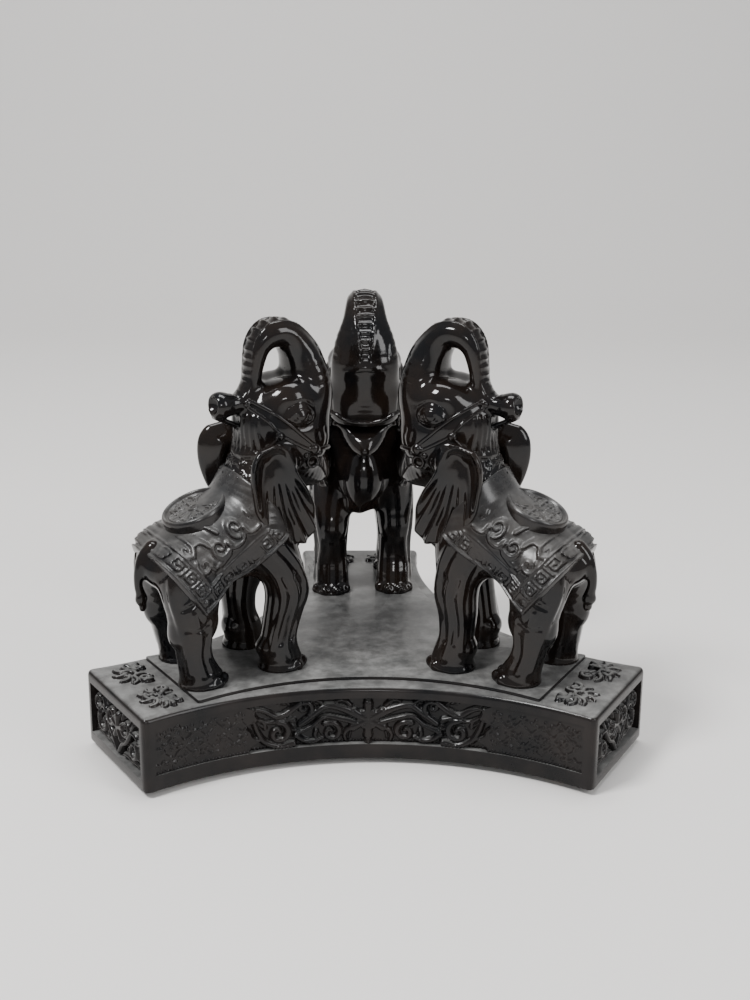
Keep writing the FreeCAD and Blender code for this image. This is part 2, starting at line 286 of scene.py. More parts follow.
def walk(points):
    """One hind foot set back and the other forward; one front knee bent, the other straight."""
    x, y, z = points.T
    side, hind, low = np.tanh(y / 1.5), smooth_step(*BELLY, x), np.clip(1 - z / HIP, 0, 1)
    stride = hind * HIND_STRIDE * low * np.where(side > 0, side, side / 2)
    knee = (1 - hind) * KNEE_BEND * side * smooth_step(20, 24, x) * bump(z, 21, 15)
    straight = (1 - hind) * KNEE_SET * low * np.maximum(-side, 0)
    return points + (stride - knee + straight)[:, None] * (1, 0, 0)


def barrel(field):
    """The body under the blanket: trunk of the body, shoulders, haunches and legs."""
    field.tube(TORSO, blend=1.0, per=4)
    field.ellipsoid((36.0, 6.8, 35.0), (7.6, 6.4, 10.0), 3.0)
    field.ellipsoid((55.4, 6.8, 27.4), (7.6, 7.2, 8.6), 2.2)
    field.tube(FRONT_LEG, 3.0)
    field.tube(HIND_LEG, 3.0)


def limbs(field):
    # knees, wrists and heels
    field.ellipsoid((28.6, 9.4, 20.5), (3.2, 3.6, 4.4), 2.0)
    field.ellipsoid((59.6, 9.4, 14.6), (2.2, 3.0, 3.2), 2.0)
    field.ellipsoid((52.0, 9.6, 17.0), (3.0, 3.6, 4.2), 2.2)
    field.ellipsoid((36.4, 9.0, 6.0), (1.8, 3.0, 2.4), 1.5)
    # flared soles, with toes hardly parted round the front of each
    for heel, radius in SOLES:
        field.ellipsoid((heel, 9.4, 0.2), (radius + 0.3, 5.6, 1.9), 1.2)
        for degrees in (-62, -22, 22, 62):
            turn = math.radians(180 + degrees)
            x, y = heel + (radius - 0.5) * math.cos(turn), 9.4 + 0.82 * radius * math.sin(turn)
            field.ellipsoid((x, y, 1.1), (1.35, 1.35, 1.5), 0.7)
    # long folds of muscle down the outsides of the legs
    for pairs, radius in (
        (((33.0, 35), (29.6, 29), (27.4, 22), (28.6, 15), (29.8, 9), (28.0, 3.4)), 1.0),
        (((36.0, 34), (32.6, 28), (30.8, 21), (31.9, 14), (32.4, 8), (31.2, 3.6)), 0.95),
        (((38.6, 31), (35.6, 26), (34.2, 19), (35.2, 12), (35.6, 6)), 0.8),
        (((62.0, 33), (62.6, 26), (60.4, 18), (58.6, 11), (57.2, 4.6)), 0.9),
        (((50.6, 27), (50.6, 20.6), (52.6, 13.6), (51.8, 8), (49.0, 3.4)), 0.85),
        (((57.6, 21), (55.8, 15.4), (55.6, 9.6), (54.0, 4)), 0.8),
    ):
        field.trace(pairs, radius, 0.7, sink=radius * 0.42)
    for pairs in (((30.9, 26), (29.0, 21.4), (30.2, 15.4), (31.0, 9)),
                  ((34.2, 26), (32.5, 20.6), (33.6, 14), (34.0, 8)),
                  ((53.0, 28), (56.6, 24.6), (60.4, 22.4)), ((53.4, 18), (56.6, 16.6), (59.4, 17)),
                  ((53.6, 14), (54.0, 9), (52.6, 4.4)), ((57.8, 28.6), (60.0, 24.5))):
        field.trace(pairs, 0.62, 0.55, sink=-0.2, carve=True)


def head(field):
    field.ellipsoid((27.0, 0, 64.6), (11.0, 10.4, 10.6), 3.0)
    field.ellipsoid((25.4, 5.0, 70.4), (6.8, 5.6, 5.6), 2.5)
    field.ellipsoid((22.0, 5.0, 60.0), (7.2, 5.6, 8.0), 2.5)
    field.tube(TRUNK, 2.2, per=5)
    field.tube(JAW, 1.6)
    # temple hollow, mouth and the corner of the mouth
    field.ellipsoid((31.4, 12.0, 68.4), (4.6, 2.6, 4.2), 1.5, carve=True)
    field.tube([(11.0, 0, 51.0, 0.9, 5.0), (15.6, 0, 52.4, 0.9, 6.4), (19.6, 0, 54.8, 0.6, 8.4)],
               0.8, carve=True)
    field.trace(((17.6, 53.2), (20.4, 54.0), (23.2, 53.0)), 0.8, 0.6, sink=0.1)
    # shelf of the upper lip across the front of the face
    field.cord([(12.6, 0, 71.6), (12.9, 2.6, 71.2), (14.4, 5.2, 70.0), (16.6, 6.8, 67.8)],
               0.75, 1.0)
    # eyeball under almond lids, with a crease above and below
    x, z = EYE
    field.ellipsoid((x, field.skin(1, x, z) - 0.6, z), (3.6, 1.6, 2.6), 1.0)
    y = field.skin(1, x, z)
    field.ellipsoid((x, y, z - 0.2), (2.7, 0.8, 1.1), 0.3, carve=True)
    field.ellipsoid((x, y - 0.5, z - 0.1), (1.7, 1.2, 1.35), 0.1)
    for pairs, radius in (
        (((22.3, 66.6), (23.7, 68.1), (25.6, 68.7), (27.4, 68.1), (28.8, 66.8)), 0.46),
        (((22.5, 66.4), (24.2, 65.9), (25.8, 65.8), (27.4, 66.1), (28.6, 66.7)), 0.34),
    ):
        field.trace(pairs, radius, 0.25, sink=radius * 0.2)
    for pairs in (((22.0, 69.0), (23.8, 70.6), (26.0, 70.9), (28.2, 69.9)),
                  ((22.4, 64.6), (24.2, 63.9), (26.2, 64.0), (28.0, 64.8))):
        field.trace(pairs, 0.28, 0.4, carve=True)
    # wrinkles at the root of the trunk and on the cheek
    for k in range(4):
        z = 74.2 + 2.3 * k
        field.trace(((15.6, z), (17.6, z + 0.4), (19.8, z - 0.2)), 0.3, 0.3, sink=-0.22, carve=True)
    for pairs in (((18.0, 63.0), (17.2, 60.4), (17.8, 58.2)), ((20.4, 62.2), (19.8, 59.8))):
        field.trace(pairs, 0.3, 0.4, carve=True)


def trunk_ladder(field):
    """A channel between two rims along the outer side of the trunk, crossed by small rungs."""
    path = spline(TRUNK[2:], 12)
    at, x, y, z = field.window((10, 0, 68), (47, 7, 96), 0)
    run = np.concatenate([[0], np.cumsum(np.hypot(*np.diff(path[:, [0, 2]], axis=0).T))])
    flat_x, flat_z = x[:, 0, :], z[0, :, :]
    near = ((flat_x[:, :, None] - path[:, 0]) ** 2
            + (flat_z[:, :, None] - path[:, 2]) ** 2).argmin(axis=2)
    ahead = np.gradient(path[:, [0, 2]], axis=0)
    ahead /= np.linalg.norm(ahead, axis=1)[:, None]
    dx, dz = flat_x - path[near, 0], flat_z - path[near, 2]
    outer = (-dx * ahead[near, 1] + dz * ahead[near, 0]) / path[near, 3]
    along = run[near] + dx * ahead[near, 0] + dz * ahead[near, 1]
    taper = 0.45 + 0.55 * smooth_step(0, 15, along)
    side = y / (5.2 * taper)[:, None, :]
    face = (smooth_step(0.35, 0.75, outer) * smooth_step(0, 2.5, along)
            * smooth_step(0, 2, run[-1] - 3.0 - along))[:, None, :]
    rung = np.clip(np.cos(2 * math.pi * along / 1.95), 0, 1)[:, None, :]
    floor = 1 - smooth_step(0.42, 0.54, side)
    field.d[at] += (face * (0.95 * floor - 0.6 * floor * rung + 0.25 * (1 - floor)
                            - 0.25 * bump(side, 0.62, 0.16))).astype(np.float32)


def neck_trim(field):
    """Fluted folds behind the head and a collar of small flowers in front of the blanket."""
    field.ellipsoid((30.4, 9.2, 55.4), (4.4, 3.4, 4.8), 2.0)
    for y in (0.7, 2.1, 3.5, 4.9, 6.2):
        pairs = [(y, 67.0), (y, 63.6), (y * 1.06, 60.0), (y * 1.14, 56.8)]
        field.trace(pairs, 0.72, 0.35, sink=0.2, axis=0)
    for z, starts in ((54.6, (0, 3.2, 6.4, 9.4)), (51.6, (1.6, 4.8, 8.0, 10.6))):
        for y in starts:
            x = field.skin(0, y, z)
            if x is None:
                continue
            field.ellipsoid((x + 0.1, y, z), (0.8, 0.7, 0.7), 0.3)
            for k in range(5):
                turn = 2 * math.pi * (k + 0.25) / 5
                y_petal, z_petal = abs(y + 1.15 * math.cos(turn)), z + 1.15 * math.sin(turn)
                x_petal = field.skin(0, y_petal, z_petal) or x
                field.ellipsoid((min(x_petal, x + 0.3), y_petal, z_petal),
                                (0.5, 0.55, 0.55), 0.25)
    for pairs in (((0.1, 56.8), (3.4, 57.0), (6.8, 57.6), (9.6, 58.4)),
                  ((0.1, 49.4), (3.6, 49.6), (7.4, 50.2), (10.6, 51.4))):
        field.trace(pairs, 0.7, 0.4, sink=0.1, axis=0)


def tail(field):
    field.tube([(62.8, 0, 35.4, 2.0, 2.2), (65.2, 0, 33.0, 1.7, 1.9), (66.6, 0, 29.6, 1.3, 1.4),
                (66.9, 0, 26.2, 1.15, 1.2), (66.3, 0, 23.4, 1.3, 1.4)], 1.2)
    field.ellipsoid((66.2, 0, 22.2), (1.7, 1.6, 1.6), 0.7)
    field.ellipsoid((65.9, 0, 20.2), (1.1, 1.0, 1.5), 0.6)


def sculpt_body():
    field = Field((9.5, 0, -0.7), (71, 16, 94), 0.405)
    barrel(field)
    limbs(field)
    head(field)
    tail(field)
    # nostrils in the flared tip
    field.ellipsoid((46.4, 0, 70.2), (3.2, 2.9, 2.6), 0.5, carve=True)
    # chest, belly and rump modelling
    field.ellipsoid((24.6, 0, 36.5), (5.0, 5.6, 8.5), 4.0)
    field.ellipsoid((31.0, 0, 27.6), (6.5, 4.5, 3.0), 3.0)
    for pairs in (((62.0, 33.0), (64.2, 29.0), (63.6, 24.5)), ((40.0, 27.5), (45.5, 24.6),
                                                               (50.0, 25.6))):
        field.trace(pairs, 0.5, 0.9, carve=True)
    neck_trim(field)
    trunk_ladder(field)
    x, y, z = field.grid()
    field.d = np.maximum(field.d, -z)
    return field


def polygon_field(points, x, z):
    """Signed distance in the plane to a closed outline, negative inside."""
    points = np.asarray(points, float)
    far = np.full(np.broadcast(x, z).shape, FAR)
    inside = np.zeros(far.shape, bool)
    for (ax, az), (bx, bz) in zip(points, np.roll(points, -1, axis=0)):
        ex, ez = bx - ax, bz - az
        k = np.clip(((x - ax) * ex + (z - az) * ez) / (ex * ex + ez * ez), 0, 1)
        far = np.minimum(far, np.hypot(x - ax - k * ex, z - az - k * ez))
        if abs(ez) > 1e-9:
            crosses = ((z >= az) != (z >= bz)) & (x < ax + (z - az) * ex / ez)
            inside ^= crosses
    return np.where(inside, -far, far).astype(np.float32)


def sculpt_ear():
    """A dished fan with a rolled upper rim and pleats that run down to its lower edge."""
    field = Field((19, 0, 31), (44, 17.5, 64), 0.22)
    rim = spline(EAR + EAR[:3], 6)[6:-12]
    x, y, z = field.grid()
    flat_x, flat_z = x[:, 0], z[0]
    edge = -polygon_field(rim, flat_x, flat_z)
    middle = 10.6 + 0.16 * (flat_x - 24)
    upper = smooth_step(40, 52, flat_z)
    middle = middle + 1.9 * upper * np.exp(-(np.maximum(edge, 0) / 1.8) ** 2)
    middle = middle - 1.5 * smooth_step(0.5, 6, edge) * smooth_step(34, 46, flat_z)
    reach = np.hypot(flat_x - 35.5, flat_z - 60.5)
    turn = np.degrees(np.arctan2(flat_z - 60.5, flat_x - 35.5))
    pleat = 0
    for angle, strength in ((-84, 0.5), (-93, 0.9), (-102, 1.0), (-111, 1.05), (-120, 1.0),
                            (-129, 0.7)):
        across = np.radians(turn - angle) * reach
        pleat = pleat + strength * np.exp(-(across / 1.0) ** 2)
    middle = middle + 1.15 * pleat * smooth_step(2.5, 10, reach)
    veins = 0.16 * np.cos(np.radians(turn) * 46) * smooth_step(14, 20, reach)
    half = 0.7 + 0.4 * upper * np.exp(-(np.maximum(edge - 0.6, 0) / 1.0) ** 2)
    slab = np.abs(y - (middle + veins)[:, None, :]) - half[:, None, :]
    field.d = -smooth_min(-slab, np.broadcast_to(edge[:, None, :], slab.shape), 1.1)
    field.d = field.d.astype(np.float32)
    field.cord([(31.6, 10.0, 59.5), (33.0, 10.8, 55.0), (30.0, 10.2, 50.0)], 1.3, 1.5)
    return field


def sculpt_harness(body):
    """Two thin straps from behind the trunk's tip to the mouth, and one round the muzzle."""
    field = Field((11, 0, 46), (42, 14.5, 76), 0.22)
    for pairs in (((36.4, 71.2), (32.6, 68.6), (28.4, 65.2), (24.4, 61.6), (20.9, 58.6)),
                  ((36.8, 69.4), (33.4, 66.2), (30.8, 62.8), (26.8, 60.2), (22.6, 57.9)),
                  ((31.0, 62.0), (33.2, 59.6), (34.6, 57.0))):
        field.cord(body.on_skin(1, pairs, sink=0.1), 0.58, 0.25, per=5)
    muzzle = body.on_skin(0, ((0.1, 55.2), (2.2, 55.3), (4.4, 55.8), (6.4, 56.6), (8.0, 57.5)),
                          side=-1, sink=0.1)
    muzzle += body.on_skin(1, ((19.6, 57.8), (21.4, 58.2)), sink=0.1)
    field.cord(muzzle, 0.75, 0.25)
    for pair, radius in (((36.9, 70.3), 1.15), ((30.9, 62.4), 1.25), ((21.6, 58.2), 1.5),
                         ((19.6, 57.0), 0.9), ((23.6, 56.6), 0.9)):
        for x, y, z in body.on_skin(1, (pair,)):
            field.ellipsoid((x, y, z), (radius, radius * 0.8, radius), 0.2)
    for x, y, z in body.on_skin(1, ((21.6, 54.6),)):
        field.cord([(x + 1.5 * math.sin(k), y + 0.2, z + 1.5 * math.cos(k))
                    for k in np.linspace(0, 2 * math.pi, 13)], 0.42, 0.2, per=1)
    return field


KEY = ("1111111",
       "1000001",
       "1011101",
       "1010101",
       "1010001",
       "1011111",
       "1000000")


def meander(along, up, period):
    """A square spiral in each period: 1 on its lines and 0 between them."""
    bitmap = np.array([[int(c) for c in row] for row in KEY[::-1]], float)
    column = np.floor(np.mod(along / period, 1) * 8).astype(int)
    row = np.clip(np.floor(up * 7), 0, 6).astype(int)
    return np.where(column < 7, bitmap[row, np.clip(column, 0, 6)], 0) * ((up > 0) & (up < 1))


def spiral(x, z, start, turns, radius, hand=1, steps=40):
    """Points of a curl that winds inward to (x, z)."""
    k = np.linspace(0, 1, steps)
    angle = math.radians(start) + hand * 2 * math.pi * turns * k
    reach = radius * (1 - 0.86 * k)
    return np.stack([x + reach * np.cos(angle), z + reach * np.sin(angle)], axis=1)


def strokes_height(strokes, x, z):
    """Rounded ridges along strokes, each (points, width at its start, width at its end)."""
    height = np.zeros(np.broadcast(x, z).shape)
    for points, first, last in strokes:
        widths = np.linspace(first, last, len(points))
        for (px, pz), width in zip(points, widths):
            near = ((x - px) ** 2 + (z - pz) ** 2) / width**2
            height = np.maximum(height, np.sqrt(np.clip(1 - near, 0, 1)) * min(width, 1.0))
    return height


def line(*corners, per=10):
    return spline(corners, per)


CLOUDS = [
    (spiral(50.2, 37.0, 200, 1.3, 2.6), 0.62, 0.42),
    (spiral(55.0, 33.6, 20, 1.2, 2.2, -1), 0.6, 0.4),
    (spiral(45.4, 41.4, 250, 1.2, 2.3), 0.6, 0.4),
    (spiral(58.6, 37.2, 120, 1.1, 2.0), 0.55, 0.4),
    (spiral(40.6, 44.6, 200, 1.1, 2.0, -1), 0.55, 0.4),
    (line((47.6, 35.4), (49.4, 33.6), (52.0, 32.2), (53.2, 33.4)), 0.4, 0.65),
    (line((52.8, 37.6), (54.8, 38.6), (57.0, 37.6), (57.2, 35.6)), 0.6, 0.4),
    (line((43.2, 40.4), (44.0, 38.0), (46.4, 36.8), (48.0, 38.0)), 0.4, 0.65),
    (line((38.4, 43.4), (39.6, 41.0), (42.0, 40.0), (43.4, 41.4)), 0.4, 0.6),
    (line((50.0, 40.4), (52.2, 41.6), (54.4, 41.2)), 0.6, 0.35),
    (line((59.6, 35.0), (61.4, 36.6), (61.2, 39.0)), 0.5, 0.35),
]
BORDER, KEY_START, KEY_FOOT, KEY_HEIGHT, KEY_PERIOD = 5.8, 4.6, 1.4, 3.4, 4.1


def sculpt_blanket():
    """A thin cloth over the barrel, with a key border along its edges and cloud scrolls."""
    field = Field((30, 0, 19), (69, 16.5, 55), 0.25)
    barrel(field)
    x, y, z = field.grid()
    flat_x, flat_z = x[:, 0], z[0]
    outline = polygon_field(BLANKET, flat_x, flat_z)
    edge = -outline
    relief = 0.12 * np.ones_like(edge)
    border = np.zeros_like(edge)
    ax, az = BLANKET[2]
    for bx, bz in (BLANKET[0], BLANKET[4]):
        length = math.hypot(bx - ax, bz - az)
        ux, uz = (bx - ax) / length, (bz - az) / length
        flip = 1 if bx > ax else -1
        along = (flat_x - ax) * ux + (flat_z - az) * uz
        up = (-(flat_x - ax) * uz + (flat_z - az) * ux) * flip
        own = up <= edge + 0.6
        rails = np.maximum(bump(up, 0.55, 0.55), bump(up, 5.5, 0.5))
        keys = meander(along - KEY_START, (up - KEY_FOOT) / KEY_HEIGHT, KEY_PERIOD)
        band = np.maximum(0.9 * rails, 0.95 * keys * (along > KEY_START)) + 0.08 * (up < BORDER)
        border = np.where(own & (up < 6.1) & (up > -0.5), np.maximum(border, band), border)
    corner = np.hypot(flat_x - ax, flat_z - az - 3.5)
    border = np.maximum(border, 0.85 * bump(corner, 0, 1.2))
    clouds = strokes_height(CLOUDS, flat_x, flat_z) * 1.5
    relief = relief + border + clouds * smooth_step(BORDER, BORDER + 0.6, edge)
    spread = np.array([1, 2, 1]) / 4
    for axis in (0, 1):
        relief = np.apply_along_axis(np.convolve, axis, relief, spread, "same")
    flank = 0.35 + 0.65 * smooth_step(3.0, 6.5, y)
    shell = field.d - 0.6 - relief[:, None, :] * flank
    cut = np.broadcast_to(outline[:, None, :], shell.shape)
    shell = -smooth_min(-shell, -cut, 0.35)
    field.d = np.maximum(shell, -(field.d + 0.5)).astype(np.float32)
    return field


COIN_MIDDLE, COIN_TILT, COIN_RADIUS, COIN_BACK = (50.9, 0.0, 43.9), 22.0, 8.8, -3.8
COIN_QUARTER = [  # corners and width of each stroke in a quarter
    (((2.2, 0), (4.4, 0), (6.2, 0)), 0.42), (((4.4, -1.2), (4.4, 1.2)), 0.4),
    (((2.0, 2.0), (3.4, 3.0), (4.6, 4.6)), 0.45),
    (((3.0, 4.6), (4.6, 4.6), (4.6, 3.0)), 0.4),
    (((2.0, 3.6), (2.4, 5.0), (1.8, 6.2)), 0.38),
    (((3.6, 2.0), (5.0, 2.4), (6.2, 1.8)), 0.38),
]


def sculpt_coin():
    """A disc with a raised rim round a four-part knot of petals and bars."""
    field = Field((-9.4, 0, -4.6), (9.4, 9.4, 2.2), 0.16)
    x, y, z = field.grid()
    flat_x, flat_y = x[:, :, 0], y[:, :, 0]
    reach = np.hypot(flat_x, flat_y)
    motif = [(line((-1.3, 0.05), (0, 1.3), (1.3, 0.05)), 0.42, 0.42)]
    for k in range(4):
        c, s = math.cos(k * math.pi / 2), math.sin(k * math.pi / 2)
        for corners, width in COIN_QUARTER:
            turned = [(px * c - py * s, px * s + py * c) for px, py in corners]
            motif.append((line(*turned), width, width))
    height = 0.95 * strokes_height(motif, flat_x, flat_y)
    height = np.maximum(height, 0.85 * bump(reach, COIN_RADIUS - 0.75, 0.9))
    height = np.maximum(height, 0.3 * bump(reach, COIN_RADIUS - 2.0, 0.3))
    top = z - 0.25 - height[:, :, None]
    side = (reach - COIN_RADIUS)[:, :, None]
    field.d = np.maximum(-smooth_min(-top, -side, 0.5), COIN_BACK - z).astype(np.float32)
    return field


# ---- the plinth ----
def arm_frame(degrees):
    turn = math.radians(degrees)
    return np.array([math.cos(turn), math.sin(turn)]), np.array([-math.sin(turn), math.cos(turn)])


def hollow_circle(reach, half_width, waist):
    """Centre distance and radius of the circle that hollows the side between two arms."""
    square = reach**2 + half_width**2 - waist**2
    along = reach * math.cos(math.radians(60)) + half_width * math.sin(math.radians(60))
    centre = square / (2 * (along - waist))
    return centre, centre - waist


def three_armed(reach, half_width, waist, corner, arc_step=1.2):
    """The closed outline, anticlockwise, with its six corners rounded."""
    centre, radius = hollow_circle(reach, half_width, waist)
    ends = []
    for degrees in ARMS.values():
        out, left = arm_frame(degrees)
        start, finish = out * reach - left * half_width, out * reach + left * half_width
        ends.append(np.array([start + (finish - start) * k for k in np.linspace(0, 1, 17)]))
    runs = []
    for degrees, end, following in zip(ARMS.values(), ends, ends[1:] + ends[:1]):
        middle = arm_frame(degrees + 60)[0] * centre
        first = math.atan2(*(end[-1] - middle)[::-1])
        last = math.atan2(*(following[0] - middle)[::-1])
        last = first + (last - first + math.pi) % (2 * math.pi) - math.pi
        steps = max(int(abs(last - first) * radius / arc_step), 8)
        runs += [end, np.array([middle + radius * np.array([math.cos(turn), math.sin(turn)])
                                for turn in np.linspace(first, last, steps + 1)])]
    loop = []
    for before, run in zip(runs[-1:] + runs[:-1], runs):
        loop += round_corner(before, run, corner)
        loop += [p for p in run if min(np.linalg.norm(p - run[0]),
                                       np.linalg.norm(p - run[-1])) > corner * 1.05]
    return np.array(loop)


def round_corner(first, second, size, steps=8):
    """A curve that leaves one row of points and joins the next, cutting their corner."""
    corner = second[0]
    back = first[-2] - corner
    away = second[1] - corner
    p0 = corner + back / np.linalg.norm(back) * size
    p2 = corner + away / np.linalg.norm(away) * size
    return [(1 - k) ** 2 * p0 + 2 * k * (1 - k) * corner + k * k * p2
            for k in np.linspace(0, 1, steps + 1)]


def offset_loop(loop, inset):
    """The loop moved inward, each point along its own normal."""
    ahead = np.roll(loop, -1, axis=0) - np.roll(loop, 1, axis=0)
    ahead /= np.linalg.norm(ahead, axis=1)[:, None]
    inward = np.stack([-ahead[:, 1], ahead[:, 0]], axis=1)
    return loop + inward * np.reshape(inset, (-1, 1))


POST, END_FRAME = 3.2, 3.0  # plain uprights beside the panels
SIDE_DEPTH, END_DEPTH = 1.8, 2.6  # how deep the panels lie
PANEL_LOW, PANEL_HIGH = 5.7, 18.6  # side panels, above the table
END_LOW, END_HIGH = BUMPER + END_FRAME, DECK - END_FRAME
REACH, HALF_WIDTH, WAIST, CORNER, CREST = 75.0, 18.9, 34.5, 2.2, 1.4
HOLLOW, HOLLOW_RADIUS = hollow_circle(REACH, HALF_WIDTH, WAIST)
SIDE_HALF = HOLLOW_RADIUS * math.asin((REACH * math.sin(math.radians(60)) - HALF_WIDTH / 2)
                                      / HOLLOW_RADIUS)


def wall_depth(point):
    """How far the wall is cut back behind the panels at a point of the outline."""
    for degrees in ARMS.values():
        out, left = arm_frame(degrees)
        u, v = point @ out, abs(point @ left)
        if u > REACH - 0.05:
            return 0.0, END_DEPTH * (v < HALF_WIDTH - END_FRAME)
        if math.hypot(u - REACH, v - HALF_WIDTH) < POST:
            return 0.0, 0.0
    return SIDE_DEPTH, 0.0


def plinth_mesh():
    loop = three_armed(REACH, HALF_WIDTH, WAIST, CORNER)
    # two points close together wherever a panel begins, so that its edge is crisp
    dense = []
    for a, b in zip(loop, np.roll(loop, -1, axis=0)):
        dense.append(a)
        if wall_depth(a) != wall_depth(b):
            share = 0.0
            for halving in range(1, 21):
                further = share + 0.5**halving
                if wall_depth(a + (b - a) * further) == wall_depth(a):
                    share = further
            dense += [a + (b - a) * max(share - 0.03, 0.01),
                      a + (b - a) * min(share + 0.03, 0.99)]
    loop = np.array(dense)
    side, end = np.array([wall_depth(point) for point in loop]).T
    profile = [(0.5, BUMPER, 0, 0), (0.12, BUMPER + 0.15, 0, 0),
               (0, BUMPER + 0.5, 0, 0), (0, END_LOW - 0.15, 0, 0), (0, END_LOW, 0, 0),
               (0, END_LOW + 0.05, 0, 1), (0, PANEL_LOW - 0.1, 0, 1), (0, PANEL_LOW, 0, 1),
               (0, PANEL_LOW + 0.05, 1, 1), (0, PANEL_HIGH - 0.05, 1, 1),
               (0, END_HIGH - 0.05, 1, 1), (0, END_HIGH, 0.9, 0), (0, END_HIGH + 0.05, 0, 0),
               (0, DECK - 1.5, 0, 0)]
    profile += [(CREST - CREST * math.cos(k), DECK - CREST + CREST * math.sin(k), 0, 0)
                for k in np.radians([15, 30, 45, 60, 75, 90])]
    rows = [np.column_stack([offset_loop(loop, inset + side * s + end * e),
                             np.full(len(loop), z)]) for inset, z, s, e in profile]
    return skinned("plinth", rows)


def skinned(name, rows):
    """A closed solid through rows of points, capped by its first and last row."""
    n = len(rows[0])
    faces = []
    for r in range(len(rows) - 1):
        for i in range(n):
            j = (i + 1) % n
            faces.append((r * n + i, r * n + j, (r + 1) * n + j, (r + 1) * n + i))
    below, above, top = len(rows) * n, len(rows) * n + 1, (len(rows) - 1) * n
    for i in range(n):
        j = (i + 1) % n
        faces += [(below, j, i), (above, top + i, top + j)]
    points = np.concatenate(rows + [rows[0].mean(axis=0)[None], rows[-1].mean(axis=0)[None]])
    mesh = new_mesh(name, points, faces, flat=2 * n)
    mesh.set_sharp_from_angle(angle=math.radians(38))
    return mesh


def ring_rows(loop, profile):
    """The loop at each inset and height of a profile."""
    return [np.column_stack([offset_loop(loop, inset), np.full(len(loop), z)])
            for inset, z in profile]


def relief_mesh(name, across, up, height, place, thickness=0.5):
    """A closed plate whose front carries a height map; place maps (across, up, height)."""
    a, b = np.meshgrid(across, up, indexing="ij")
    front = place(a, b, height)
    back = place(a, b, np.full(a.shape, -thickness))
    points = np.concatenate([front.reshape(-1, 3), back.reshape(-1, 3)])
    n, m = a.shape
    index = np.arange(n * m).reshape(n, m)
    top = np.stack([index[:-1, :-1], index[1:, :-1], index[1:, 1:], index[:-1, 1:]], -1)
    quads = [top.reshape(-1, 4), top.reshape(-1, 4)[:, ::-1] + n * m]
    border = np.concatenate([index[:-1, 0], index[-1, :-1], index[:0:-1, -1], index[0, :0:-1]])
    onward = np.roll(border, -1)
    quads.append(np.stack([border, border + n * m, onward + n * m, onward], -1))
    return new_mesh(name, points, np.concatenate(quads).tolist())


def samples(low, high, step, margin=0.0):
    return np.linspace(low + margin, high - margin, int((high - low) / (step * COARSE)))


def both_sides(strokes):
    return strokes + [(np.asarray(points) * (-1, 1), first, last)
                      for points, first, last in strokes]


def flower(x, z, petals, length, width, start=90):
    out = []
    for k in range(petals):
        turn = math.radians(start + 360 * k / petals)
        dx, dz = length * math.cos(turn), length * math.sin(turn)
        petal = line((x, z), (x + 0.6 * dx, z + 0.6 * dz), (x + dx, z + dz), per=8)
        out.append((petal, width * 0.7, width))
    return out


def leaf(x, z, degrees, length, width):
    """A pointed leaf: a full stroke beside a thin one that bends away from it."""
    turn = math.radians(degrees)
    c, s = math.cos(turn), math.sin(turn)
    bent = [(0, 0), (0.35, 0.16), (0.72, 0.12), (1, -0.12)]
    rib = [(0.1, -0.1), (0.45, -0.2), (0.8, -0.3)]
    return [(line(*[(x + length * (u * c - v * s), z + length * (u * s + v * c))
                    for u, v in rows], per=6), first * width, last * width)
            for rows, first, last in ((bent, 0.8, 0.5), (rib, 0.4, 0.3))]


def leaves(*rows):
    return [stroke for row in rows for stroke in leaf(*row)]


def side_strokes():
    half = [
        (line((2.8, 1.4), (6.6, 3.4), (10.8, 4.3), (14.4, 1.9), (17.6, -0.4)), 1.25, 0.85),
        (line((2.8, -0.8), (7.2, 0.5), (11.2, 1.2), (14.6, -1.2), (18.2, -2.8)), 0.9, 0.7),
        (spiral(9.6, -3.2, 60, 1.2, 2.9), 0.95, 0.6),
        (line((11.8, -4.8), (14.0, -5.5), (16.6, -5.0), (18.6, -3.4)), 0.6, 0.9),
        (spiral(16.4, 4.0, 230, 1.1, 2.2, -1), 0.85, 0.6),
        (spiral(23.2, -2.2, 90, 1.2, 3.1), 1.1, 0.7),
        (line((17.6, 5.6), (20.6, 3.4), (23.4, 2.4), (26.4, 4.2), (29.0, 5.3)), 1.1, 0.75),
        (line((19.0, 0.8), (22.0, 1.4), (25.6, 0.9), (28.6, 2.4)), 0.7, 0.55),
        (line((19.4, -5.5), (23.0, -5.9), (26.8, -4.2), (28.6, -1.2), (29.6, 1.8)), 1.1, 0.7),
    ]
    half += leaves(
        (4.4, -2.2, -60, 3.6, 1.0), (4.6, 4.2, 20, 4.0, 0.9), (12.0, 5.2, 10, 3.2, 0.8),
        (13.4, -2.6, -100, 2.8, 0.9), (20.2, -0.8, -150, 2.6, 0.8), (26.6, -0.6, 60, 2.8, 0.8),
        (20.4, 5.6, 15, 2.8, 0.7))
    return both_sides(half) + flower(0, 0.2, 6, 4.4, 1.35) + flower(0, 0.2, 6, 2.3, 0.9, 60) + [
        (line((0, 0.2), (0.05, 0.2)), 1.5, 1.5), (line((0, -6.0), (0, -3.6)), 1.0, 0.6)]


SCROLL_HALF, SPRIG_FROM, SPRIG_TO = 29.6, 32, 56  # along the side from its middle


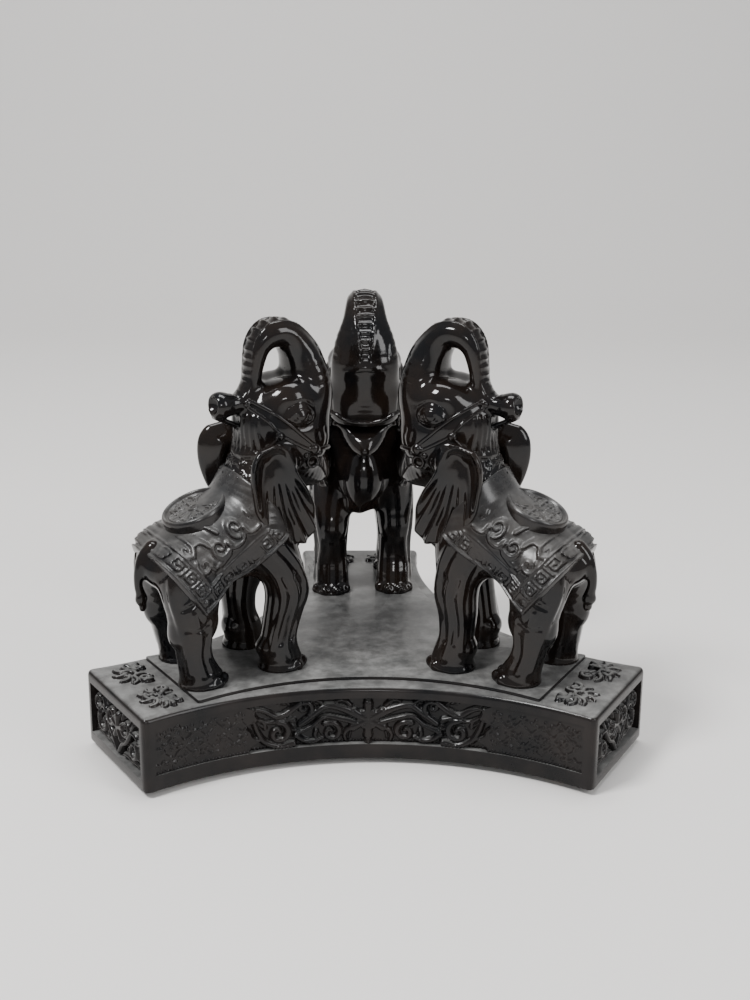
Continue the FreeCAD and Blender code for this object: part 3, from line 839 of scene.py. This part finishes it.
def side_relief():
    """Scrolls about a flower in a sunk middle, and shallow sprigs on the raised outer parts."""
    limit = SIDE_HALF - POST - 0.02
    across = samples(-limit, limit, 0.22)
    up = samples(PANEL_LOW, END_HIGH, 0.22, margin=0.04)
    s, q = across[:, None], up[None, :] - (PANEL_LOW + END_HIGH) / 2
    scrolls = strokes_height(side_strokes(), s, q)
    edge = SCROLL_HALF + 1.3 * np.cos(q * 0.9) + 0.5 * np.sin(q * 2.1)
    outer = smooth_step(0, 0.9, np.abs(s) - edge)
    sprigs = []
    rng = np.random.default_rng(11)
    for s0 in np.arange(SPRIG_FROM + 1.5, SPRIG_TO - 0.5, 3.1):
        for q0 in (-3.6, 0.2, 3.8):
            c = (s0 + rng.uniform(-0.8, 0.8), q0 + rng.uniform(-0.7, 0.7))
            sprigs += flower(*c, int(rng.integers(3, 6)), rng.uniform(0.9, 1.5),
                             rng.uniform(0.35, 0.5), rng.uniform(0, 360))
    for base_q in (-2.0, 2.0):
        wave = [(k, base_q + 1.1 * math.sin(k * 1.1 + base_q))
                for k in np.arange(SPRIG_FROM, SPRIG_TO, 1.5)]
        sprigs.append((line(*wave, per=5), 0.34, 0.34))
    low = strokes_height(both_sides(sprigs), s, q)
    height = 0.06 + 1.65 * scrolls * (1 - outer) + outer * (1.25 + 0.95 * low)
    lip = bump(np.abs(s) - edge, 0.5, 0.7) * 0.3
    beads = bump(q, -6.05, 0.42) * np.clip(np.cos(2 * math.pi * s / 0.95), 0, 1) * 0.7
    height = np.minimum(height + lip + beads, SIDE_DEPTH + 0.2)
    return across, up, height


def end_relief():
    """Leaves and scrolls over a sunk ground in the end of an arm."""
    limit = HALF_WIDTH - END_FRAME - 0.04
    across = samples(-limit, limit, 0.2)
    up = samples(END_LOW, END_HIGH, 0.2, margin=0.07)
    v, q = across[:, None], up[None, :] - (END_LOW + END_HIGH) / 2
    half = [
        (spiral(4.8, 2.2, 200, 1.2, 2.7), 1.0, 0.6),
        (spiral(9.6, -1.8, 40, 1.2, 2.9, -1), 1.1, 0.65),
        (spiral(13.2, 3.0, 250, 1.0, 2.2), 0.9, 0.6),
        (line((0.6, -5.8), (2.6, -3.2), (5.0, -1.8), (7.4, 1.2), (9.6, 4.8)), 1.1, 0.75),
        (line((3.0, -5.9), (5.8, -5.4), (8.0, -5.8), (11.4, -5.6), (15.4, -5.9)), 0.8, 0.6),
        (line((8.2, 2.4), (10.6, 2.2), (12.4, 0.4), (15.2, -1.4)), 0.9, 0.6),
        (line((0.8, 6.0), (5.0, 6.2), (10.0, 5.9), (15.4, 6.2)), 0.6, 0.5),
    ]
    half += leaves(
        (11.4, -3.4, -20, 4.0, 1.1), (6.2, -3.0, -70, 2.8, 1.0), (2.4, 3.6, 60, 2.8, 0.9),
        (6.8, 4.4, 20, 3.0, 0.8), (12.6, -0.6, -30, 3.0, 0.9), (3.2, -1.6, 130, 3.0, 0.9))
    height = strokes_height(both_sides(half) + flower(0, 0.6, 5, 3.2, 1.3), v, q)
    return across, up, 0.05 + 2.3 * height


CLUSTER_HALF, CLUSTER_FROM, CLUSTER_TO = 15.5, 60.8, 71.4  # across the arm, and outward
CLUSTER_ROWS = 52


def deck_relief():
    """Two leafy clusters lying on the deck beyond the plateau."""
    across = samples(-CLUSTER_HALF, CLUSTER_HALF, 0.2)
    outward = np.linspace(CLUSTER_FROM, CLUSTER_TO, int(CLUSTER_ROWS / COARSE))
    v, u = across[:, None], outward[None, :]
    strokes = []
    for middle, hand in ((-8.4, 1), (8.4, -1)):
        for dv, du, start, radius in ((0.6, 1.2, 40, 2.4), (4.2, -2.0, 200, 1.8)):
            strokes.append((spiral(middle + hand * dv, 66 + du, start, 1.2, radius, hand),
                            0.95, 0.55))
        strokes += flower(middle - hand * 3.4, 64.4, 5, 2.3, 0.95, 30)
        for degrees in (15, 55, 95, 135, 175, 230, 300):
            c, s = math.cos(math.radians(degrees)), math.sin(math.radians(degrees))
            strokes += leaf(middle + hand * 2.6 * c, 66.2 + 1.6 * s,
                            degrees if hand > 0 else 180 - degrees, 3.4, 1.1)
    height = strokes_height(strokes, v, u)
    return across, outward, 1.35 * height


# ---- materials ----
DUST_AND_SHEEN_COLOUR, DUST_DULLS = (0.34, 0.34, 0.33), 0.16


def material(name, dark, light, rough, wear, specular=0.5, dust_and_sheen=0.0, upward_from=0.7):
    """Polished resin: slow colour changes, smudges in the gloss, and grey on what faces up, which
    is dust and, where laid on thickly, also a painted sheen.
    """
    made = bpy.data.materials.new(name)
    made.use_nodes = True
    nodes, links = made.node_tree.nodes, made.node_tree.links
    shader = nodes["Principled BSDF"]

    def fill(item, **inputs):
        """Link or set each named input of a node."""
        for key, value in inputs.items():
            socket = item.inputs[key.replace("_", " ")]
            if isinstance(value, bpy.types.NodeSocket):
                links.new(value, socket)
            else:
                socket.default_value = value
        return item

    def node(kind, **inputs):
        return fill(nodes.new(kind), **inputs)

    def span(value, low, high, to_low, to_high):
        item = node("ShaderNodeMapRange", Value=value, From_Min=low, From_Max=high,
                    To_Min=to_low, To_Max=to_high)
        return item.outputs["Result"]

    def mix(factor, first, second):
        item = nodes.new("ShaderNodeMix")
        item.data_type = "RGBA"
        return fill(item, Factor=factor, A=first, B=second).outputs["Result"]

    def maths(operation, first, second):
        item = nodes.new("ShaderNodeMath")
        item.operation = operation
        for socket, value in zip(item.inputs, (first, second)):
            links.new(value, socket)
        return item.outputs[0]

    place = nodes.new("ShaderNodeTexCoord").outputs["Object"]
    cloudy = node("ShaderNodeTexNoise", Vector=place, Scale=90.0, Detail=5.0).outputs["Fac"]
    smudge = node("ShaderNodeTexNoise", Vector=place, Scale=260.0, Detail=8.0,
                  Roughness=0.7).outputs["Fac"]
    grain = node("ShaderNodeTexNoise", Vector=place, Scale=2600.0, Detail=3.0).outputs["Fac"]
    colour = mix(span(cloudy, 0.35, 0.68, 0, 1), (*dark, 1), (*light, 1))
    gloss = span(smudge, 0.3, 0.75, rough, rough + wear)
    # what faces up turns grey: dust, and where laid on thickly, as on the plinth, also a painted
    # sheen of the bright surroundings
    if dust_and_sheen:
        normal = nodes.new("ShaderNodeNewGeometry").outputs["Normal"]
        facing = node("ShaderNodeSeparateXYZ", Vector=normal)
        upward = span(facing.outputs["Z"], upward_from, 0.98, 0, 1)
        specks = node("ShaderNodeTexVoronoi", Vector=place, Scale=1500.0)
        speck = span(specks.outputs["Distance"], 0.16, 0.05, 0, 1)
        film = span(smudge, 0.4, 0.7, 0.35, 0.8)
        patchy = maths("MULTIPLY", upward, span(cloudy, 0.35, 0.66, 0.6, 1))
        dust_and_sheen_amount = maths("MULTIPLY", patchy, maths("MAXIMUM", speck, film))
        colour = mix(span(dust_and_sheen_amount, 0, 1, 0, dust_and_sheen), colour, (*DUST_AND_SHEEN_COLOUR, 1))
        gloss = maths("ADD", gloss, span(upward, 0, 1, 0, DUST_DULLS))
    ripple = node("ShaderNodeBump", Strength=0.12, Distance=0.00006, Height=grain)
    fill(shader, Base_Color=colour, Roughness=gloss, Normal=ripple.outputs["Normal"],
         IOR=1.5, Specular_IOR_Level=specular)
    return made


elephant_resin = material("elephant_resin", (0.003, 0.003, 0.0035), (0.012, 0.008, 0.006),
                          0.06, 0.09, specular=0.34)
# its thick grey on what faces up is partly dust and partly a painted sheen of the bright
# surroundings on the deck
plinth_resin = material("plinth_resin", (0.005, 0.005, 0.0055), (0.016, 0.013, 0.012),
                        0.14, 0.14, specular=0.2, dust_and_sheen=0.8)
dusty_resin = material("dusty_resin", (0.004, 0.004, 0.005), (0.016, 0.012, 0.010),
                       0.13, 0.15, specular=0.4, dust_and_sheen=0.34, upward_from=0.1)
rubber = material("bumper_rubber", (0.16, 0.11, 0.07), (0.26, 0.18, 0.12), 0.38, 0.2)


# ---- pieces ----
def add(name, data):
    item = bpy.data.objects.new(name, data)
    bpy.context.scene.collection.objects.link(item)
    return item


def piece(name, mesh, node, finish, transform):
    item = add(name, mesh)
    if not mesh.materials:
        mesh.materials.append(finish)
    item.matrix_world = transform
    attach(item, "root")
    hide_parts(node)


def arm_transform(degrees, out=0.0, aside=0.0, height=0.0):
    """Onto an arm: outward along it, to its left and up, in millimetres."""
    turn = Matrix.Rotation(math.radians(degrees), 4, "Z")
    return turn @ Matrix.Translation((out * MM, aside * MM, height * MM))


body = sculpt_body()
lean = np.array(Matrix.Rotation(math.radians(COIN_TILT), 3, "Y"))
elephant_parts = {
    "body": body.mesh("elephant_body", warp=walk),
    "ears": sculpt_ear().mesh("elephant_ears"),
    "harness": sculpt_harness(body).mesh("elephant_harness", relax=0),
    "blanket": sculpt_blanket().mesh("elephant_blanket", warp=walk),
    "coin": sculpt_coin().mesh("elephant_coin", relax=0,
                               warp=lambda points: points @ lean.T + COIN_MIDDLE),
}
for arm, degrees in ARMS.items():
    where = arm_transform(degrees, *STANDS[arm], PLATEAU)
    for part, mesh in elephant_parts.items():
        finish = dusty_resin if part in ("blanket", "coin") else elephant_resin
        piece(f"elephant_{arm}_{part}", mesh, f"elephant_{arm}", finish, where)

def plinth_piece(part, mesh, degrees=0.0):
    piece(f"plinth_{part}", mesh, "base", plinth_resin, arm_transform(degrees))


plinth_piece("block", plinth_mesh())
PLATEAU_REACH, PLATEAU_HALF_WIDTH, PLATEAU_WAIST, PLATEAU_CORNER = 59.0, 16.6, 29.3, 0.9
plateau_loop = three_armed(PLATEAU_REACH, PLATEAU_HALF_WIDTH, PLATEAU_WAIST, PLATEAU_CORNER)
plateau_rows = ring_rows(plateau_loop, [(0, DECK - 0.6), (0, PLATEAU - 0.3),
                                        (0.09, PLATEAU - 0.09), (0.3, PLATEAU)])
plinth_piece("plateau", skinned("plateau", plateau_rows))


def on_side(s, z, h):
    """The concave side that faces -Y."""
    angle = s / HOLLOW_RADIUS
    radius = HOLLOW_RADIUS + SIDE_DEPTH - h
    return np.stack([radius * np.sin(angle), -HOLLOW + radius * np.cos(angle), z], -1)


def on_end(v, z, h):
    return np.stack([REACH - END_DEPTH + h, v, z], -1)


def on_deck(v, u, h):
    return np.stack([u, -v, DECK - 0.1 + h], -1)


side_mesh = relief_mesh("side_relief", *side_relief(), on_side)
end_mesh = relief_mesh("end_relief", *end_relief(), on_end)
deck_mesh = relief_mesh("deck_relief", *deck_relief(), on_deck)
for arm, degrees in ARMS.items():
    plinth_piece(f"end_{arm}", end_mesh, degrees)
    plinth_piece(f"scroll_{arm}", deck_mesh, degrees)
    plinth_piece(f"side_{arm}", side_mesh, degrees - 90)


DOT_OUT, DOT_ASIDE, DOT_SIDES = 64.0, 10.5, 48
DOT_PROFILE = [(2.8, 0), (3.4, 0.03), (3.9, 0.16), (4.25, 0.42), (4.45, 0.85), (4.5, 1.2),
               (4.5, BUMPER)]                 # radius and height


def bumper_mesh():
    """A domed rubber dot, its wide face up against the plinth."""
    turns = np.linspace(0, 2 * math.pi, DOT_SIDES, endpoint=False)
    return skinned("bumper", [
        np.column_stack([radius * np.cos(turns), radius * np.sin(turns), np.full(DOT_SIDES, z)])
        for radius, z in DOT_PROFILE])


dot = bumper_mesh()
for arm, degrees in ARMS.items():
    for letter, side in (("a", 1), ("b", -1)):
        piece(f"bumper_{arm}_{letter}_dot", dot, f"bumper_{arm}_{letter}",
              rubber, arm_transform(degrees, DOT_OUT, side * DOT_ASIDE))


# ---- studio ----
def backdrop():
    """A pale floor that curves up into a wall behind the stand."""
    near, far, sweep, height, half_width = -1.6, 0.55, 0.35, 1.8, 2.4
    profile = [(near, 0.0), (far, 0.0)]
    profile += [(far + sweep * math.sin(k), sweep - sweep * math.cos(k))
                for k in np.radians(np.arange(10, 91, 10))]
    profile += [(far + sweep, height)]
    points = [(x, y, z) for y, z in profile for x in (-half_width, half_width)]
    faces = [(2 * i, 2 * i + 1, 2 * i + 3, 2 * i + 2) for i in range(len(profile) - 1)]
    mesh = bpy.data.meshes.new("backdrop")
    mesh.from_pydata(points, [], faces)
    mesh.polygons.foreach_set("use_smooth", np.ones(len(faces), bool))
    paper = bpy.data.materials.new("backdrop")
    paper.use_nodes = True
    shader = paper.node_tree.nodes["Principled BSDF"]
    shader.inputs["Base Color"].default_value = (0.72, 0.70, 0.68, 1)
    shader.inputs["Roughness"].default_value = 0.6
    mesh.materials.append(paper)
    add("backdrop", mesh)


def lamp(name, place, target, width, height, power):
    data = bpy.data.lights.new(name, "AREA")
    data.shape, data.size, data.size_y, data.energy = "RECTANGLE", width, height, power
    item = add(name, data)
    item.location = place
    item.rotation_mode = "QUATERNION"
    item.rotation_quaternion = (Vector(target) - Vector(place)).to_track_quat("-Z", "Y")


backdrop()
lamp("key", (-0.42, -0.30, 0.75), (0, 0, 0.05), 0.22, 0.22, 9.0)
lamp("fill", (0.60, -0.45, 0.45), (0, 0, 0.06), 0.25, 0.50, 3.0)
lamp("top", (0.05, 0.15, 0.95), (0, 0, 0.05), 0.60, 0.35, 6.0)
lamp("front", (0.0, -0.9, 0.42), (0, 0, 0.06), 0.16, 0.10, 1.3)
world = bpy.data.worlds.new("studio")
world.use_nodes = True
sky = world.node_tree.nodes["Background"]
sky.inputs["Color"].default_value = (0.86, 0.89, 0.93, 1)
sky.inputs["Strength"].default_value = 0.45
bpy.context.scene.world = world

# ---- camera ----
PITCH, YAW, ROLL = 0.299, -0.033, 0.009  # radians
CAMERA_PLACE, LENS, SENSOR = (-0.0107, -0.3956, 0.1835), 55.02, 36.0
level = Vector((math.cos(YAW), math.sin(YAW), 0))
rise = Vector((-math.sin(YAW) * math.sin(PITCH), math.cos(YAW) * math.sin(PITCH),
               math.cos(PITCH)))
right = level * math.cos(ROLL) + rise * math.sin(ROLL)
above = rise * math.cos(ROLL) - level * math.sin(ROLL)
turn = Matrix((right, above, right.cross(above))).transposed().to_4x4()
camera = add("camera", bpy.data.cameras.new("camera"))
camera.data.lens, camera.data.sensor_width = LENS, SENSOR
camera.matrix_world = Matrix.Translation(CAMERA_PLACE) @ turn
bpy.context.scene.camera = camera
